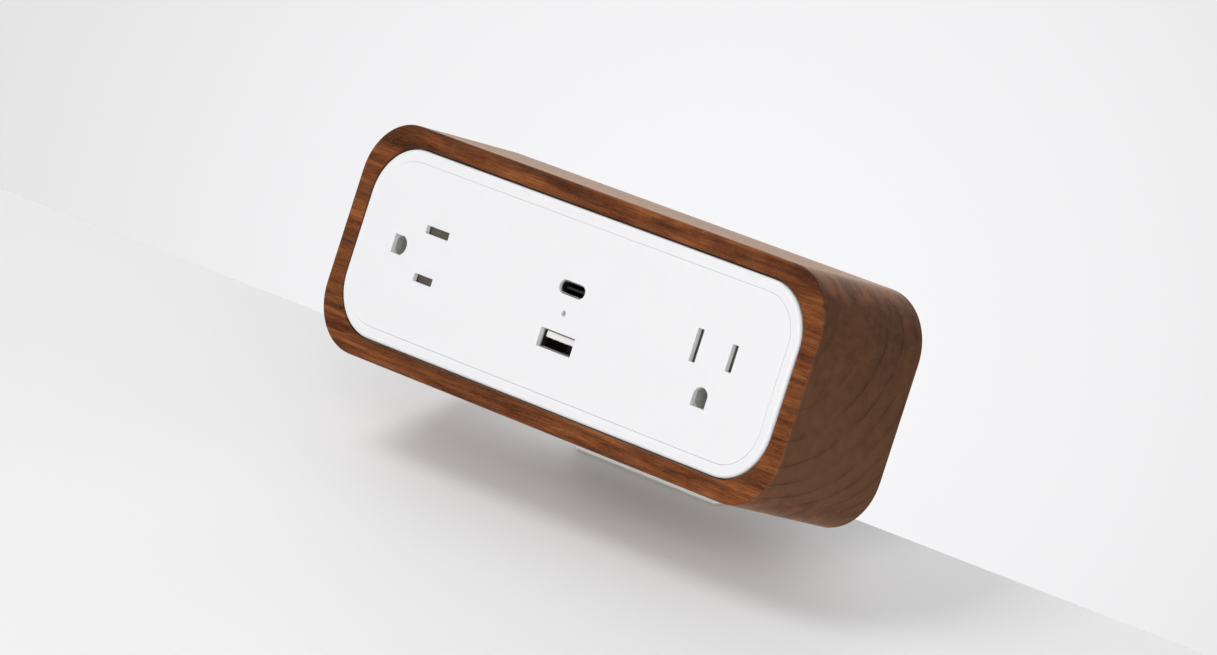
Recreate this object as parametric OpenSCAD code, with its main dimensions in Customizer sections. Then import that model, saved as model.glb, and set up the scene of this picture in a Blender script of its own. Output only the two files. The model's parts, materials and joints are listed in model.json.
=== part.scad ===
// Desk power hub: a wooden case with two outlets and two USB ports, tilted back on a desk clamp.
// Millimetres, +Z up. The origin is the middle of the clamp jaw's underside, where it rests on
// the desk top. X runs along the hub, and +Y points away from the person who sits at the desk.

/* [Case] */
// Length of the wooden case
case_w = 171; // [165:1:190]
// Height of the wooden case
case_h = 62; // [60:1:70]
// Depth of the wooden case
case_d = 38; // [38:1:46]
// Corner radius of the wooden case, seen from the front
case_r = 15.5; // [14:0.5:18]
// Thickness of the wood at the top and the bottom
wood_t = 8.5; // [7:0.5:8.5]
// How far the case leans back, in degrees
tilt = 25; // [15:1:30]
// Height of the case's lower front edge above the desk
lift = 25.5; // [24:0.5:34]

/* [Front] */
// Length of the white front
front_w = 159; // [157:0.5:160]
// Height of the white front
front_h = 51; // [49:0.5:52]
// Width of the bezel ring around the inner panel
bezel_w = 3.3; // [3:0.1:4.5]
// How far the white front stands proud of the wood
front_proud = 0.4; // [0:0.1:1]
// Gap between the white front and the wood
front_gap = 0.4; // [0.3:0.1:0.6]

/* [Ports] */
// Place of the left outlet along the hub
left_outlet_x = -57.5; // [-58:0.5:-56]
// Place of the right outlet along the hub
right_outlet_x = 53.5; // [52:0.5:54.5]
// Height of the USB-C port above the middle
usb_c_z = 5.4; // [5:0.2:8]
// Height of the USB-A port above the middle
usb_a_z = -8.6; // [-10:0.2:-8]

/* [Clamp] */
// Width of the clamp
clamp_w = 60; // [48:1:64]
// How far the jaw reaches in over the desk
jaw_reach = 20; // [20:1:26]
// Largest opening of the clamp
throat = 54; // [54:1:64]
// Thickness of the desk that the clamp is set to
desk_t = 30; // [20:1:45]
// Diameter of the clamp's knob
knob_d = 36; // [30:1:44]

/* [Hidden] */
$fn = 64;

// Colours
walnut = [0.42, 0.24, 0.14];
white_plastic = [0.93, 0.93, 0.92];
grey_plastic = [0.55, 0.55, 0.54];
dark_plastic = [0.12, 0.12, 0.13];
brass = [0.80, 0.62, 0.28];
steel = [0.70, 0.71, 0.73];
board_green = [0.10, 0.36, 0.22];

// Case and front
front_y = -50;
front_r = case_r - 1;
front_t = 1.5;
bezel_depth = 6;
pocket_r = front_r + front_gap;
side_t = wood_t + 0.5;
cavity_w = case_w - 2 * side_t;
cavity_h = case_h - 2 * wood_t;
cavity_r = 11;
cover_t = 3;
cover_gap = 0.3;
cover_w = cavity_w + 4;
cover_h = cavity_h + 3;
cover_r = 12.5;
panel_w = front_w - 2 * bezel_w;
panel_h = front_h - 2 * bezel_w;
panel_r = front_r - bezel_w;
panel_gap = 0.3;
panel_back = front_t - front_proud;
shelf = 3;

// Chassis, and the long screws that draw the front and the rear cover together
chassis_gap = 0.3;
chassis_t = 1.5;
chassis_w = cavity_w - 2 * chassis_gap;
chassis_h = cavity_h - 2 * chassis_gap;
chassis_r = cavity_r - chassis_gap;
chassis_front = 6.1;
chassis_back = case_d - cover_t - 0.1;
boss_x = front_w / 2 - 8.2;
boss_z = front_h / 2 - 8.4;
boss_r = 2.8;
post_h = 4;
case_screw_r = 1.25;

// Outlets: blade slots, ground hole and shutter, to the North American 15 A pattern
blade_pitch = 12.7;
ground_drop = 11.9;
slot_w = 2.1;
neutral_len = 8.6;
hot_len = 7;
ground_w = 5;
outlet_w = 29;
outlet_h = 25;
outlet_mid = -4.4;
outlet_back = 22;
well_back = 20;
left_spin = -90;
left_blades_x = left_outlet_x + 6;
left_blades_z = 0.3;
right_blades_z = 3.4;
shutter_w = 18.4;
shutter_h = 10.4;
shutter_t = 2.6;
shutter_y = panel_back + 0.4;
shutter_travel = 3.5;
shutter_pocket = 3.4;
shutter_window = 2.8;
shutter_x = 0.4;
spring_len = 4.5;
spring_r = 1.4;
spring_wire = 0.15;
spring_turns = 3;
leaf_t = 0.5;
leaf_gap = 1.5;
contact_front = 7;
tab_back = 26;

// USB ports
usb_x = 0.5;
usb_c_w = 9.4;
usb_c_h = 3.6;
usb_a_w = 12.6;
usb_a_h = 4.9;
board_y = 12;
board_t = 1.6;
led_x = 0.2;
led_z = -1.1;
led_hole_r = 0.75;

// Charger board and its parts
charger_x0 = -36;
charger_x1 = 38;
charger_y0 = 11;
charger_y1 = 33.4;
charger_z = -19;
charger_top = charger_z + board_t;
board_hole_x = [charger_x0 + 3, charger_x1 - 3];
board_hole_y = 24;
wire_y = 29.5;
wire_r = 1.1;
drop_r = 1;
tail_r = 0.9;
bend_r = 1.25;
tap_side = 1.35;
ground_tap_side = 2.15;

// Rear inlet and the clamp's fixing screws
inlet_x = -62;
inlet_z = -7;
inlet_r = 4;
grommet_r = 6.5;
fix_x = 12;
fix_z = [-6, 9];
fix_r = 2;
insert_r = 3;
insert_len = 6;
boss_back = 4.6;

// Clamp
back_y = jaw_reach / 2;
jaw_front = -jaw_reach / 2;
pad_t = 1.2;
pad_recess = 0.6;
jaw_top = 7;
plate_t = 4.5;
flange_t = 4;
flange_top = 16;
corner_cut = 4;
rib_t = 6;
arm_top = -throat;
arm_t = 8;
arm_front = -14;
boss_bottom = arm_top - arm_t - 4;
clamp_boss_r = 10;
screw_r = 4;
fit_gap = 0.05;
bush_r = 6.5;
ball_r = 3.5;
face_t = 1.6;
pressure_r = 9.4;
screw_y = -2.5;
pressure_t = 7;
pad_top = -desk_t;
face_out = 0.8;
pad_bottom = pad_top - face_out - pressure_t;
ball_z = pad_bottom + 2.6;
screw_bottom = boss_bottom - 24;
knob_t = 14;
knob_gap = 1;
lobes = 8;

// Puts its children in the hub's own frame: x along the hub, y back from the front of the wood,
// z up from the middle of the case.
module on_hub() {
    translate([0, front_y, lift]) rotate([-tilt, 0, 0]) translate([0, 0, case_h / 2]) children();
}

// A rounded rectangle in the plane of the front, from y0 back to y1
module slab(w, h, r, y0, y1) {
    translate([0, y1, 0]) rotate([90, 0, 0]) linear_extrude(y1 - y0) {
        square([w - 2 * r, h], center = true);
        square([w, h - 2 * r], center = true);
        for (sx = [-1, 1], sz = [-1, 1]) {
            translate([sx * (w / 2 - r), sz * (h / 2 - r)]) circle(r);
        }
    }
}

// A box given by its two corners
module block(a, b) {
    translate(a) cube(b - a);
}

// A round bar or hole along y
module bar_y(x, z, r, y0, y1) {
    translate([x, y1, z]) rotate([90, 0, 0]) cylinder(r = r, h = y1 - y0);
}

// A hole or tube with half-round ends, along y
module stadium(w, h, y0, y1) {
    bar_y((h - w) / 2, 0, h / 2, y0, y1);
    bar_y((w - h) / 2, 0, h / 2, y0, y1);
    block([(h - w) / 2, y0, -h / 2], [(w - h) / 2, y1, h / 2]);
}

// Outlet frames: x across the two blades, z along them, the ground contact below
module at_left_outlet() {
    translate([left_blades_x, 0, left_blades_z]) rotate([0, -left_spin, 0]) children();
}

module at_right_outlet() {
    translate([right_outlet_x, 0, right_blades_z]) children();
}

// The U-shaped ground hole, flat side down
module ground_shape(w, y0, y1) {
    translate([0, 0, -ground_drop]) intersection() {
        bar_y(0, -w * 0.02, w * 0.54, y0, y1);
        block([-w / 2, y0, -w / 2], [w / 2, y1, w * 0.52]);
    }
}

module outlet_slots(y0, y1) {
    block([-blade_pitch / 2 - slot_w / 2, y0, -neutral_len / 2],
          [-blade_pitch / 2 + slot_w / 2, y1, neutral_len / 2]);
    block([blade_pitch / 2 - slot_w / 2, y0, -hot_len / 2],
          [blade_pitch / 2 + slot_w / 2, y1, hot_len / 2]);
    ground_shape(ground_w, y0, y1);
}

module corner_posts(r, y0, y1) {
    for (sx = [-1, 1], sz = [-1, 1]) bar_y(sx * boss_x, sz * boss_z, r, y0, y1);
}

// ---- Case and front ----

module walnut_case() {
    color(walnut) on_hub() difference() {
        slab(case_w, case_h, case_r, 0, case_d);
        slab(front_w + 2 * front_gap, front_h + 2 * front_gap, pocket_r, -1, bezel_depth);
        slab(cavity_w, cavity_h, cavity_r, bezel_depth - 1, case_d + 1);
        slab(cover_w + 2 * cover_gap, cover_h + 2 * cover_gap, cover_r + cover_gap,
             case_d - cover_t, case_d + 1);
    }
}

module front_bezel() {
    shelf_w = panel_w - 2 * shelf;
    shelf_h = panel_h - 2 * shelf;
    color(white_plastic) on_hub() difference() {
        union() {
            slab(front_w, front_h, front_r, -front_proud, bezel_depth);
            corner_posts(boss_r, bezel_depth - 1, bezel_depth + post_h);
        }
        slab(panel_w, panel_h, panel_r, -1, panel_back);
        difference() {
            slab(shelf_w, shelf_h, panel_r - shelf, panel_back - 1, bezel_depth + 1);
            corner_posts(boss_r, panel_back - 2, bezel_depth + 2);
        }
        corner_posts(case_screw_r + fit_gap, bezel_depth - 2, bezel_depth + post_h + 1);
    }
}

module front_panel() {
    color(white_plastic) on_hub() difference() {
        slab(panel_w - 2 * panel_gap, panel_h - 2 * panel_gap, panel_r - panel_gap,
             -front_proud, panel_back);
        at_left_outlet() outlet_slots(-1, panel_back + 1);
        at_right_outlet() outlet_slots(-1, panel_back + 1);
        translate([usb_x, 0, usb_c_z]) stadium(usb_c_w, usb_c_h, -1, panel_back + 1);
        block([usb_x - usb_a_w / 2, -1, usb_a_z - usb_a_h / 2],
              [usb_x + usb_a_w / 2, panel_back + 1, usb_a_z + usb_a_h / 2]);
        bar_y(led_x, led_z, led_hole_r, -1, panel_back + 1);
    }
}

module inner_chassis() {
    inner_w = chassis_w - 2 * chassis_t;
    inner_h = chassis_h - 2 * chassis_t;
    color(grey_plastic) on_hub() difference() {
        union() {
            difference() {
                slab(chassis_w, chassis_h, chassis_r, chassis_front, chassis_back);
                slab(inner_w, inner_h, chassis_r - chassis_t, chassis_front - 1, chassis_back + 1);
            }
            intersection() {
                slab(chassis_w - 1, chassis_h - 1, chassis_r - 0.5, 0, case_d);
                corner_posts(boss_r + 0.6, bezel_depth + post_h + 0.1, chassis_back);
            }
            for (x = board_hole_x) {
                translate([x, board_hole_y, -inner_h / 2 - 0.5]) {
                    cylinder(r = 2.5, h = charger_z + inner_h / 2 + 0.5);
                }
            }
        }
        corner_posts(case_screw_r + 0.2, bezel_depth, case_d);
        corner_posts(boss_r + 0.2, chassis_front - 1, bezel_depth + post_h + 0.05);
        for (x = board_hole_x) {
            translate([x, board_hole_y, -inner_h / 2 - 0.4]) cylinder(r = 0.85, h = 5);
        }
    }
}

module rear_cover() {
    color(white_plastic) on_hub() difference() {
        union() {
            slab(cover_w, cover_h, cover_r, case_d - cover_t, case_d);
            for (x = [-fix_x, fix_x], z = fix_z) {
                bar_y(x, z, boss_back, case_d - insert_len - 1, case_d - 1);
            }
        }
        corner_posts(case_screw_r + 0.25, case_d - cover_t - 1, case_d + 1);
        corner_posts(boss_r - 0.2, case_d - 1.7, case_d + 1);
        bar_y(inlet_x, inlet_z, grommet_r - 1.5, case_d - cover_t - 1, case_d + 1);
        for (x = [-fix_x, fix_x], z = fix_z) {
            bar_y(x, z, insert_r, case_d - insert_len, case_d + 1);
        }
    }
}

module inlet_grommet() {
    color(dark_plastic) on_hub() difference() {
        union() {
            bar_y(inlet_x, inlet_z, grommet_r - 1.5, case_d - cover_t - 1.5, case_d + 1.5);
            bar_y(inlet_x, inlet_z, grommet_r, case_d, case_d + 1.8);
            bar_y(inlet_x, inlet_z, grommet_r - 0.5, case_d - cover_t - 1.6, case_d - cover_t);
        }
        bar_y(inlet_x, inlet_z, inlet_r, case_d - cover_t - 2, case_d + 2);
    }
}

// ---- Outlets ----

module outlet_body() {
    difference() {
        block([-outlet_w / 2, panel_back, outlet_mid - outlet_h / 2],
              [outlet_w / 2, outlet_back, outlet_mid + outlet_h / 2]);
        block([-outlet_w / 2 + 1.2, panel_back - 1, -shutter_h / 2 - 0.3],
              [outlet_w / 2 - 1.2, panel_back + shutter_pocket, shutter_h / 2 + 0.3]);
        for (sx = [-1, 1]) {
            block([sx * blade_pitch / 2 - 2.6, panel_back, -4.9],
                  [sx * blade_pitch / 2 + 2.6, well_back, 4.9]);
            block([sx * blade_pitch / 2 - 2.1, well_back - 1, -2.6],
                  [sx * blade_pitch / 2 + 2.1, outlet_back + 1, 2.6]);
        }
        ground_shape(ground_w + 0.2, panel_back - 1, contact_front - 0.4);
        bar_y(0, -ground_drop, 3.4, contact_front - 0.5, well_back);
        bar_y(0, -ground_drop, 2, well_back - 1, outlet_back + 1);
    }
}

// Two spring leaves that grip a blade, joined behind it, with a tab for the wire
module blade_contact(side, len) {
    color(brass) on_hub_outlet(side) {
        for (s = [-1, 1]) {
            block([s * leaf_gap - leaf_t / 2, contact_front, -len / 2],
                  [s * leaf_gap + leaf_t / 2, well_back - 0.4, len / 2]);
            block([s * (leaf_gap - 0.35) - leaf_t / 2, contact_front + 3, -len / 2 + 1],
                  [s * (leaf_gap - 0.35) + leaf_t / 2, contact_front + 6, len / 2 - 1]);
        }
        block([-leaf_gap - leaf_t / 2, well_back - 0.9, -len / 2],
              [leaf_gap + leaf_t / 2, well_back - 0.4, len / 2]);
        block([-0.4, well_back - 0.5, -2.2], [0.4, tab_back, 2.2]);
    }
}

// Outlet 0 is the left one and 1 the right. Blade 0 is neutral and 1 hot.
module on_hub_outlet(place) {
    x = place[1] == 0 ? -blade_pitch / 2 : blade_pitch / 2;
    on_hub() {
        if (place[0] == 0) at_left_outlet() translate([x, 0, 0]) children();
        if (place[0] == 1) at_right_outlet() translate([x, 0, 0]) children();
    }
}

module ground_contact() {
    difference() {
        bar_y(0, -ground_drop, 3, contact_front, well_back - 0.4);
        bar_y(0, -ground_drop, 2.4, contact_front - 1, well_back - 1);
        block([-0.4, contact_front - 1, -ground_drop], [0.4, well_back - 3, -ground_drop + 4]);
    }
    bar_y(0, -ground_drop, 1.2, well_back - 0.9, tab_back);
}

// A slider that closes both blade slots, with a window beside each for the open position
module shutter() {
    difference() {
        block([-shutter_w / 2 - shutter_x, shutter_y, -shutter_h / 2],
              [shutter_w / 2 - shutter_x, shutter_y + shutter_t, shutter_h / 2]);
        for (sx = [-1, 1]) {
            block([sx * blade_pitch / 2 - shutter_travel - shutter_window / 2, 0, -4.6],
                  [sx * blade_pitch / 2 - shutter_travel + shutter_window / 2, outlet_back, 4.6]);
        }
    }
}

// A small coil as a row of rings between the shutter's end and the pocket's end
module shutter_spring() {
    x0 = shutter_w / 2 - shutter_x + 0.1 + spring_wire;
    pitch = (spring_len - 0.2 - 2 * spring_wire) / (spring_turns - 1);
    for (i = [0:spring_turns - 1]) {
        translate([x0 + i * pitch, shutter_y + shutter_t / 2, 0]) {
            rotate([0, 90, 0]) rotate_extrude() {
                translate([spring_r - spring_wire, 0]) circle(spring_wire, $fn = 16);
            }
        }
    }
    translate([x0, shutter_y + shutter_t / 2, -spring_r + spring_wire]) {
        rotate([0, 90, 0]) cylinder(r = spring_wire * 0.6, h = pitch * (spring_turns - 1));
    }
}

module left_outlet_body() { color(white_plastic) on_hub() at_left_outlet() outlet_body(); }
module right_outlet_body() { color(white_plastic) on_hub() at_right_outlet() outlet_body(); }
module left_neutral_contact() { blade_contact([0, 0], 8); }
module left_hot_contact() { blade_contact([0, 1], 7); }
module left_ground_contact() { color(brass) on_hub() at_left_outlet() ground_contact(); }
module right_neutral_contact() { blade_contact([1, 0], 8); }
module right_hot_contact() { blade_contact([1, 1], 7); }
module right_ground_contact() { color(brass) on_hub() at_right_outlet() ground_contact(); }
module left_shutter() { color(grey_plastic) on_hub() at_left_outlet() shutter(); }
module right_shutter() { color(grey_plastic) on_hub() at_right_outlet() shutter(); }
module left_shutter_spring() { color(steel) on_hub() at_left_outlet() shutter_spring(); }
module right_shutter_spring() { color(steel) on_hub() at_right_outlet() shutter_spring(); }

// ---- USB ports and boards ----

module usb_c_shell() {
    color(steel) on_hub() translate([usb_x, 0, usb_c_z]) difference() {
        stadium(usb_c_w - 0.2, usb_c_h - 0.2, 0.2, board_y);
        stadium(usb_c_w - 0.7, usb_c_h - 0.7, -1, board_y - 0.6);
    }
}

module usb_c_tongue() {
    color(dark_plastic) on_hub() translate([usb_x, 0, usb_c_z]) {
        block([-3.35, 1.1, -0.35], [3.35, board_y - 0.6, 0.35]);
    }
}

module usb_a_shell() {
    w = usb_a_w - 0.1;
    h = usb_a_h - 0.1;
    color(steel) on_hub() translate([usb_x, 0, usb_a_z]) difference() {
        block([-w / 2, 0.9, -h / 2], [w / 2, board_y, h / 2]);
        block([-w / 2 + 0.25, 0, -h / 2 + 0.25], [w / 2 - 0.25, board_y - 1, h / 2 - 0.25]);
        for (sx = [-1, 1]) {
            block([sx * 3.2 - 1.1, panel_back + 2, -h / 2 - 1], [sx * 3.2 + 1.1, board_y - 3, -h / 2 + 1]);
        }
    }
}

module usb_a_tongue() {
    color(white_plastic) on_hub() translate([usb_x, 0, usb_a_z]) {
        block([-5.5, 1.4, 0.35], [5.5, board_y - 1, 2.05]);
    }
}

module usb_a_contacts() {
    color(brass) on_hub() translate([usb_x, 0, usb_a_z]) {
        for (x = [-3.5, -1, 1, 3.5]) block([x - 0.5, 2.4, 0.15], [x + 0.5, board_y - 1.2, 0.35]);
    }
}

module light_pipe() {
    color([0.85, 0.88, 0.9]) on_hub() {
        bar_y(led_x, led_z, led_hole_r - 0.05, 0.2, board_y - 1.1);
        bar_y(led_x, led_z, led_hole_r + 0.6, panel_back + 0.1, panel_back + 1.3);
    }
}

module indicator_led() {
    color([0.9, 0.9, 0.7]) on_hub() {
        block([led_x - 0.8, board_y - 0.9, led_z - 0.4], [led_x + 0.8, board_y, led_z + 0.4]);
    }
}

module port_board() {
    color(board_green) on_hub() {
        block([usb_x - 17, board_y, charger_top], [usb_x + 17, board_y + board_t, 14]);
    }
}

module board_link_pins() {
    color(brass) on_hub() for (i = [0:7]) {
        x = usb_x - 8.9 + i * 2.54;
        block([x - 0.32, board_y + board_t, charger_top], [x + 0.32, board_y + board_t + 1.7, charger_top + 0.64]);
    }
}

module charger_board() {
    color(board_green) on_hub() difference() {
        block([charger_x0, charger_y0, charger_z], [charger_x1, charger_y1, charger_top]);
        for (x = board_hole_x) {
            translate([x, board_hole_y, charger_z - 1]) cylinder(r = 1.2, h = board_t + 2);
        }
    }
}

module transformer_core() {
    color([0.2, 0.2, 0.22]) on_hub() difference() {
        block([-9, 15.6, charger_top], [11, 27.6, charger_top + 19]);
        block([-6, 15, charger_top + 3], [8, 28, charger_top + 16]);
    }
}

module transformer_winding() {
    color([0.85, 0.65, 0.15]) on_hub() {
        block([-5.8, 14.6, charger_top + 3.2], [7.8, 28, charger_top + 15.8]);
    }
}

module filter_capacitors() {
    spots = [[-29, 18.5, 4.6, 20], [-19.5, 18.5, 4.6, 16], [18, 19.5, 4, 14], [27, 19.5, 4, 14]];
    color([0.15, 0.16, 0.2]) on_hub() for (c = spots) {
        translate([c[0], c[1], charger_top]) cylinder(r = c[2], h = c[3]);
    }
}

module heat_sink() {
    color(steel) on_hub() {
        block([16, 25.6, charger_top], [32, 26.8, charger_top + 17]);
        for (i = [0:5]) block([16.4 + i * 2.9, 24.4, charger_top + 2], [17.2 + i * 2.9, 25.6, charger_top + 17]);
    }
}

module power_chips() {
    color(dark_plastic) on_hub() {
        block([-30, 25, charger_top], [-22, 27.6, charger_top + 9]);
        block([-15.5, 24.6, charger_top], [-11.5, 27.4, charger_top + 2.2]);
        block([usb_x - 13.5, board_y + board_t, -7], [usb_x - 8.5, board_y + board_t + 1, -2]);
        block([usb_x + 8, board_y + board_t, 2], [usb_x + 13, board_y + board_t + 1, 7]);
    }
}

module fuse() {
    color([0.75, 0.75, 0.7]) on_hub() {
        translate([28, 13.2, charger_top + 2.1]) rotate([0, 90, 0]) cylinder(r = 1.9, h = 7, center = true);
    }
}

// Wire runs along the back of the hub, with a drop to each contact's tab
module wire_run(z, x0, x1, taps) {
    on_hub() {
        translate([x0, wire_y, z]) rotate([0, 90, 0]) cylinder(r = wire_r, h = x1 - x0);
        for (tap = taps) {
            translate([tap[0], wire_y, min(tap[1], z)]) cylinder(r = drop_r, h = abs(tap[1] - z));
            bar_y(tap[0], tap[1], tail_r, tab_back - 1.5, wire_y);
            for (end_z = [z, tap[1]]) translate([tap[0], wire_y, end_z]) sphere(bend_r);
        }
    }
}

left_tap_z = left_blades_z + blade_pitch / 2 + tap_side;

module line_wires() {
    color([0.15, 0.15, 0.16]) wire_run(-14.2, -61, right_outlet_x + 7.6,
        [[left_blades_x, left_blades_z - blade_pitch / 2 - tap_side],
         [right_outlet_x + blade_pitch / 2 + tap_side, right_blades_z]]);
}

module neutral_wires() {
    color([0.9, 0.9, 0.9]) wire_run(15.6, -61, right_outlet_x - 5,
        [[left_blades_x, left_tap_z], [right_outlet_x - blade_pitch / 2 + tap_side, right_blades_z]]);
}

module ground_wires() {
    color([0.1, 0.45, 0.2]) wire_run(18.4, left_outlet_x - 9, right_outlet_x + ground_tap_side,
        [[left_blades_x - ground_drop - ground_tap_side, left_blades_z],
         [right_outlet_x + ground_tap_side, right_blades_z - ground_drop]]);
}

// ---- Fasteners ----

module board_screws() {
    color(steel) on_hub() for (x = board_hole_x) {
        translate([x, board_hole_y, charger_z - 1.6]) cylinder(r = 0.8, h = board_t + 1.7);
        translate([x, board_hole_y, charger_top]) cylinder(r = 1.9, h = 1.2);
    }
}

module case_screws() {
    color(steel) on_hub() difference() {
        union() {
            corner_posts(case_screw_r, bezel_depth + post_h - 3, case_d - 1.2);
            corner_posts(boss_r - 0.45, case_d - 1.7, case_d - 0.2);
        }
        corner_posts(0.9, case_d - 1, case_d);
    }
}

module bracket_inserts() {
    color(brass) on_hub() difference() {
        for (x = [-fix_x, fix_x], z = fix_z) bar_y(x, z, insert_r, case_d - insert_len, case_d - 0.1);
        for (x = [-fix_x, fix_x], z = fix_z) bar_y(x, z, fix_r, case_d - insert_len - 1, case_d + 1);
    }
}

module bracket_screws() {
    y_head = case_d + flange_t;
    color(steel) on_hub() difference() {
        for (x = [-fix_x, fix_x], z = fix_z) {
            bar_y(x, z, fix_r - fit_gap, case_d - insert_len + 0.5, y_head);
            bar_y(x, z, 3.6, y_head, y_head + 2.2);
        }
        for (x = [-fix_x, fix_x], z = fix_z) {
            translate([x, y_head + 3, z]) rotate([90, 0, 0]) cylinder(r = 1.45, h = 2.2, $fn = 6);
        }
    }
}

// ---- Clamp ----

// A point on the back of the case, at height z in the hub's frame
function back_point(z, out) = [
    front_y + (case_d + out) * cos(tilt) + (z + case_h / 2) * sin(tilt),
    lift - (case_d + out) * sin(tilt) + (z + case_h / 2) * cos(tilt)
];

// Height in the hub's frame at which the case's back passes over the jaw's front
meet_z = (jaw_front - front_y - case_d * cos(tilt)) / sin(tilt) - case_h / 2;

// Side outline of the neck that carries the hub, from the jaw up along the back of the case
neck = [
    [jaw_front, pad_recess], back_point(meet_z, 0), back_point(flange_top, 0),
    back_point(flange_top, flange_t), [back_y + plate_t, 40], [back_y + plate_t, pad_recess]
];

// The hollow between the neck's two side ribs, open to the back
neck_hollow = [
    [jaw_front + flange_t, jaw_top], back_point(meet_z, flange_t), back_point(flange_top + 12, flange_t),
    [60, 90], [60, 14], [back_y + plate_t, 14], [back_y, jaw_top]
];

module side_profile(points, w) {
    rotate([90, 0, 90]) translate([0, 0, -w / 2]) linear_extrude(w) polygon(points);
}

// Top view of the clamp's parts, with its two front corners cut off
module plan(w, y0, y1, cut) {
    polygon([[-w / 2, y1], [-w / 2, y0 + cut], [-w / 2 + cut, y0],
             [w / 2 - cut, y0], [w / 2, y0 + cut], [w / 2, y1]]);
}

module clamp_frame() {
    back_out = back_y + plate_t;
    color(white_plastic) difference() {
        union() {
            intersection() {
                side_profile(neck, clamp_w);
                linear_extrude(100) plan(clamp_w, jaw_front, back_out, corner_cut);
            }
            block([-clamp_w / 2, back_y, arm_top - arm_t], [clamp_w / 2, back_out, jaw_top]);
            translate([0, 0, arm_top - arm_t]) linear_extrude(arm_t) plan(40, arm_front, back_out, 10);
            translate([0, screw_y, boss_bottom]) cylinder(r = clamp_boss_r, h = 6);
        }
        side_profile(neck_hollow, clamp_w - 2 * rib_t);
        translate([0, screw_y, boss_bottom - 1]) cylinder(r = bush_r, h = arm_t + 6);
        block([-clamp_w / 2 + 2.5, jaw_front + 2.5, -1], [clamp_w / 2 - 2.5, back_y - 2.5, pad_t]);
        on_hub() for (x = [-fix_x, fix_x], z = fix_z) {
            bar_y(x, z, fix_r + 0.25, case_d - 1, case_d + flange_t + 1);
        }
    }
}

module jaw_pad() {
    color([0.8, 0.8, 0.78]) {
        linear_extrude(pad_recess) plan(clamp_w - 0.4, jaw_front + 0.2, back_y - 2.2, corner_cut);
        block([-clamp_w / 2 + 2.7, jaw_front + 2.7, 0], [clamp_w / 2 - 2.7, back_y - 2.7, pad_t]);
    }
}

module threaded_bush() {
    color(brass) translate([0, screw_y, 0]) difference() {
        union() {
            translate([0, 0, boss_bottom]) cylinder(r = bush_r, h = arm_t + 4);
            translate([0, 0, boss_bottom - 1]) cylinder(r = bush_r + 1.5, h = 1);
        }
        translate([0, 0, boss_bottom - 2]) cylinder(r = screw_r, h = arm_t + 8);
    }
}

module pressure_pad() {
    color(white_plastic) translate([0, screw_y, 0]) difference() {
        translate([0, 0, pad_bottom]) cylinder(r = pressure_r, h = pressure_t);
        translate([0, 0, pad_top - face_t]) cylinder(r = pressure_r - 1.5, h = face_t + 1);
        translate([0, 0, ball_z]) sphere(ball_r + fit_gap);
        translate([0, 0, pad_bottom - 1]) cylinder(r = 2.9, h = 3);
    }
}

module pressure_pad_face() {
    color(dark_plastic) translate([0, screw_y, 0]) {
        translate([0, 0, pad_top - face_t]) cylinder(r = pressure_r - 1.6, h = face_t);
    }
}

module clamp_screw() {
    color(steel) translate([0, screw_y, 0]) {
        translate([0, 0, ball_z]) sphere(ball_r);
        translate([0, 0, pad_bottom - 2]) cylinder(r = 2.4, h = 4);
        translate([0, 0, screw_bottom]) cylinder(r = screw_r - fit_gap, h = pad_bottom - 1 - screw_bottom);
    }
}

module clamp_knob() {
    top = screw_bottom + knob_t - knob_gap;
    color(white_plastic) translate([0, screw_y, 0]) difference() {
        translate([0, 0, screw_bottom - knob_gap]) cylinder(r = knob_d / 2, h = knob_t);
        translate([0, 0, screw_bottom]) cylinder(r = screw_r - fit_gap, h = knob_t);
        for (i = [0:lobes - 1]) {
            rotate(i * 360 / lobes) translate([knob_d / 2 + 3.4, 0, screw_bottom - 2]) {
                cylinder(r = 5.5, h = knob_t + 4);
            }
        }
        translate([0, 0, top - 1.4]) difference() {
            cylinder(r = knob_d / 2 - 4.5, h = 3);
            translate([0, 0, -1]) cylinder(r = 7, h = 5);
        }
    }
}

walnut_case();
front_bezel();
front_panel();
inner_chassis();
rear_cover();
inlet_grommet();
left_outlet_body();
left_neutral_contact();
left_hot_contact();
left_ground_contact();
left_shutter();
left_shutter_spring();
right_outlet_body();
right_neutral_contact();
right_hot_contact();
right_ground_contact();
right_shutter();
right_shutter_spring();
usb_c_shell();
usb_c_tongue();
usb_a_shell();
usb_a_tongue();
usb_a_contacts();
light_pipe();
indicator_led();
port_board();
board_link_pins();
charger_board();
transformer_core();
transformer_winding();
filter_capacitors();
heat_sink();
power_chips();
fuse();
line_wires();
neutral_wires();
ground_wires();
board_screws();
case_screws();
bracket_inserts();
bracket_screws();
clamp_frame();
jaw_pad();
threaded_bush();
pressure_pad();
pressure_pad_face();
clamp_screw();
clamp_knob();
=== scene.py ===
"""Looks for a walnut-cased desk power hub on its clamp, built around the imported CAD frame.

The row frame has its origin under the clamp's jaw, on the desk top, with +Y away from the user.
The hub's own frame, used for its pieces, is x along the hub, y back from the wood's front and z
up from the middle of the case, all in millimetres.
"""

import json
import math

import bmesh
import bpy
from mathutils import Matrix, Vector


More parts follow.
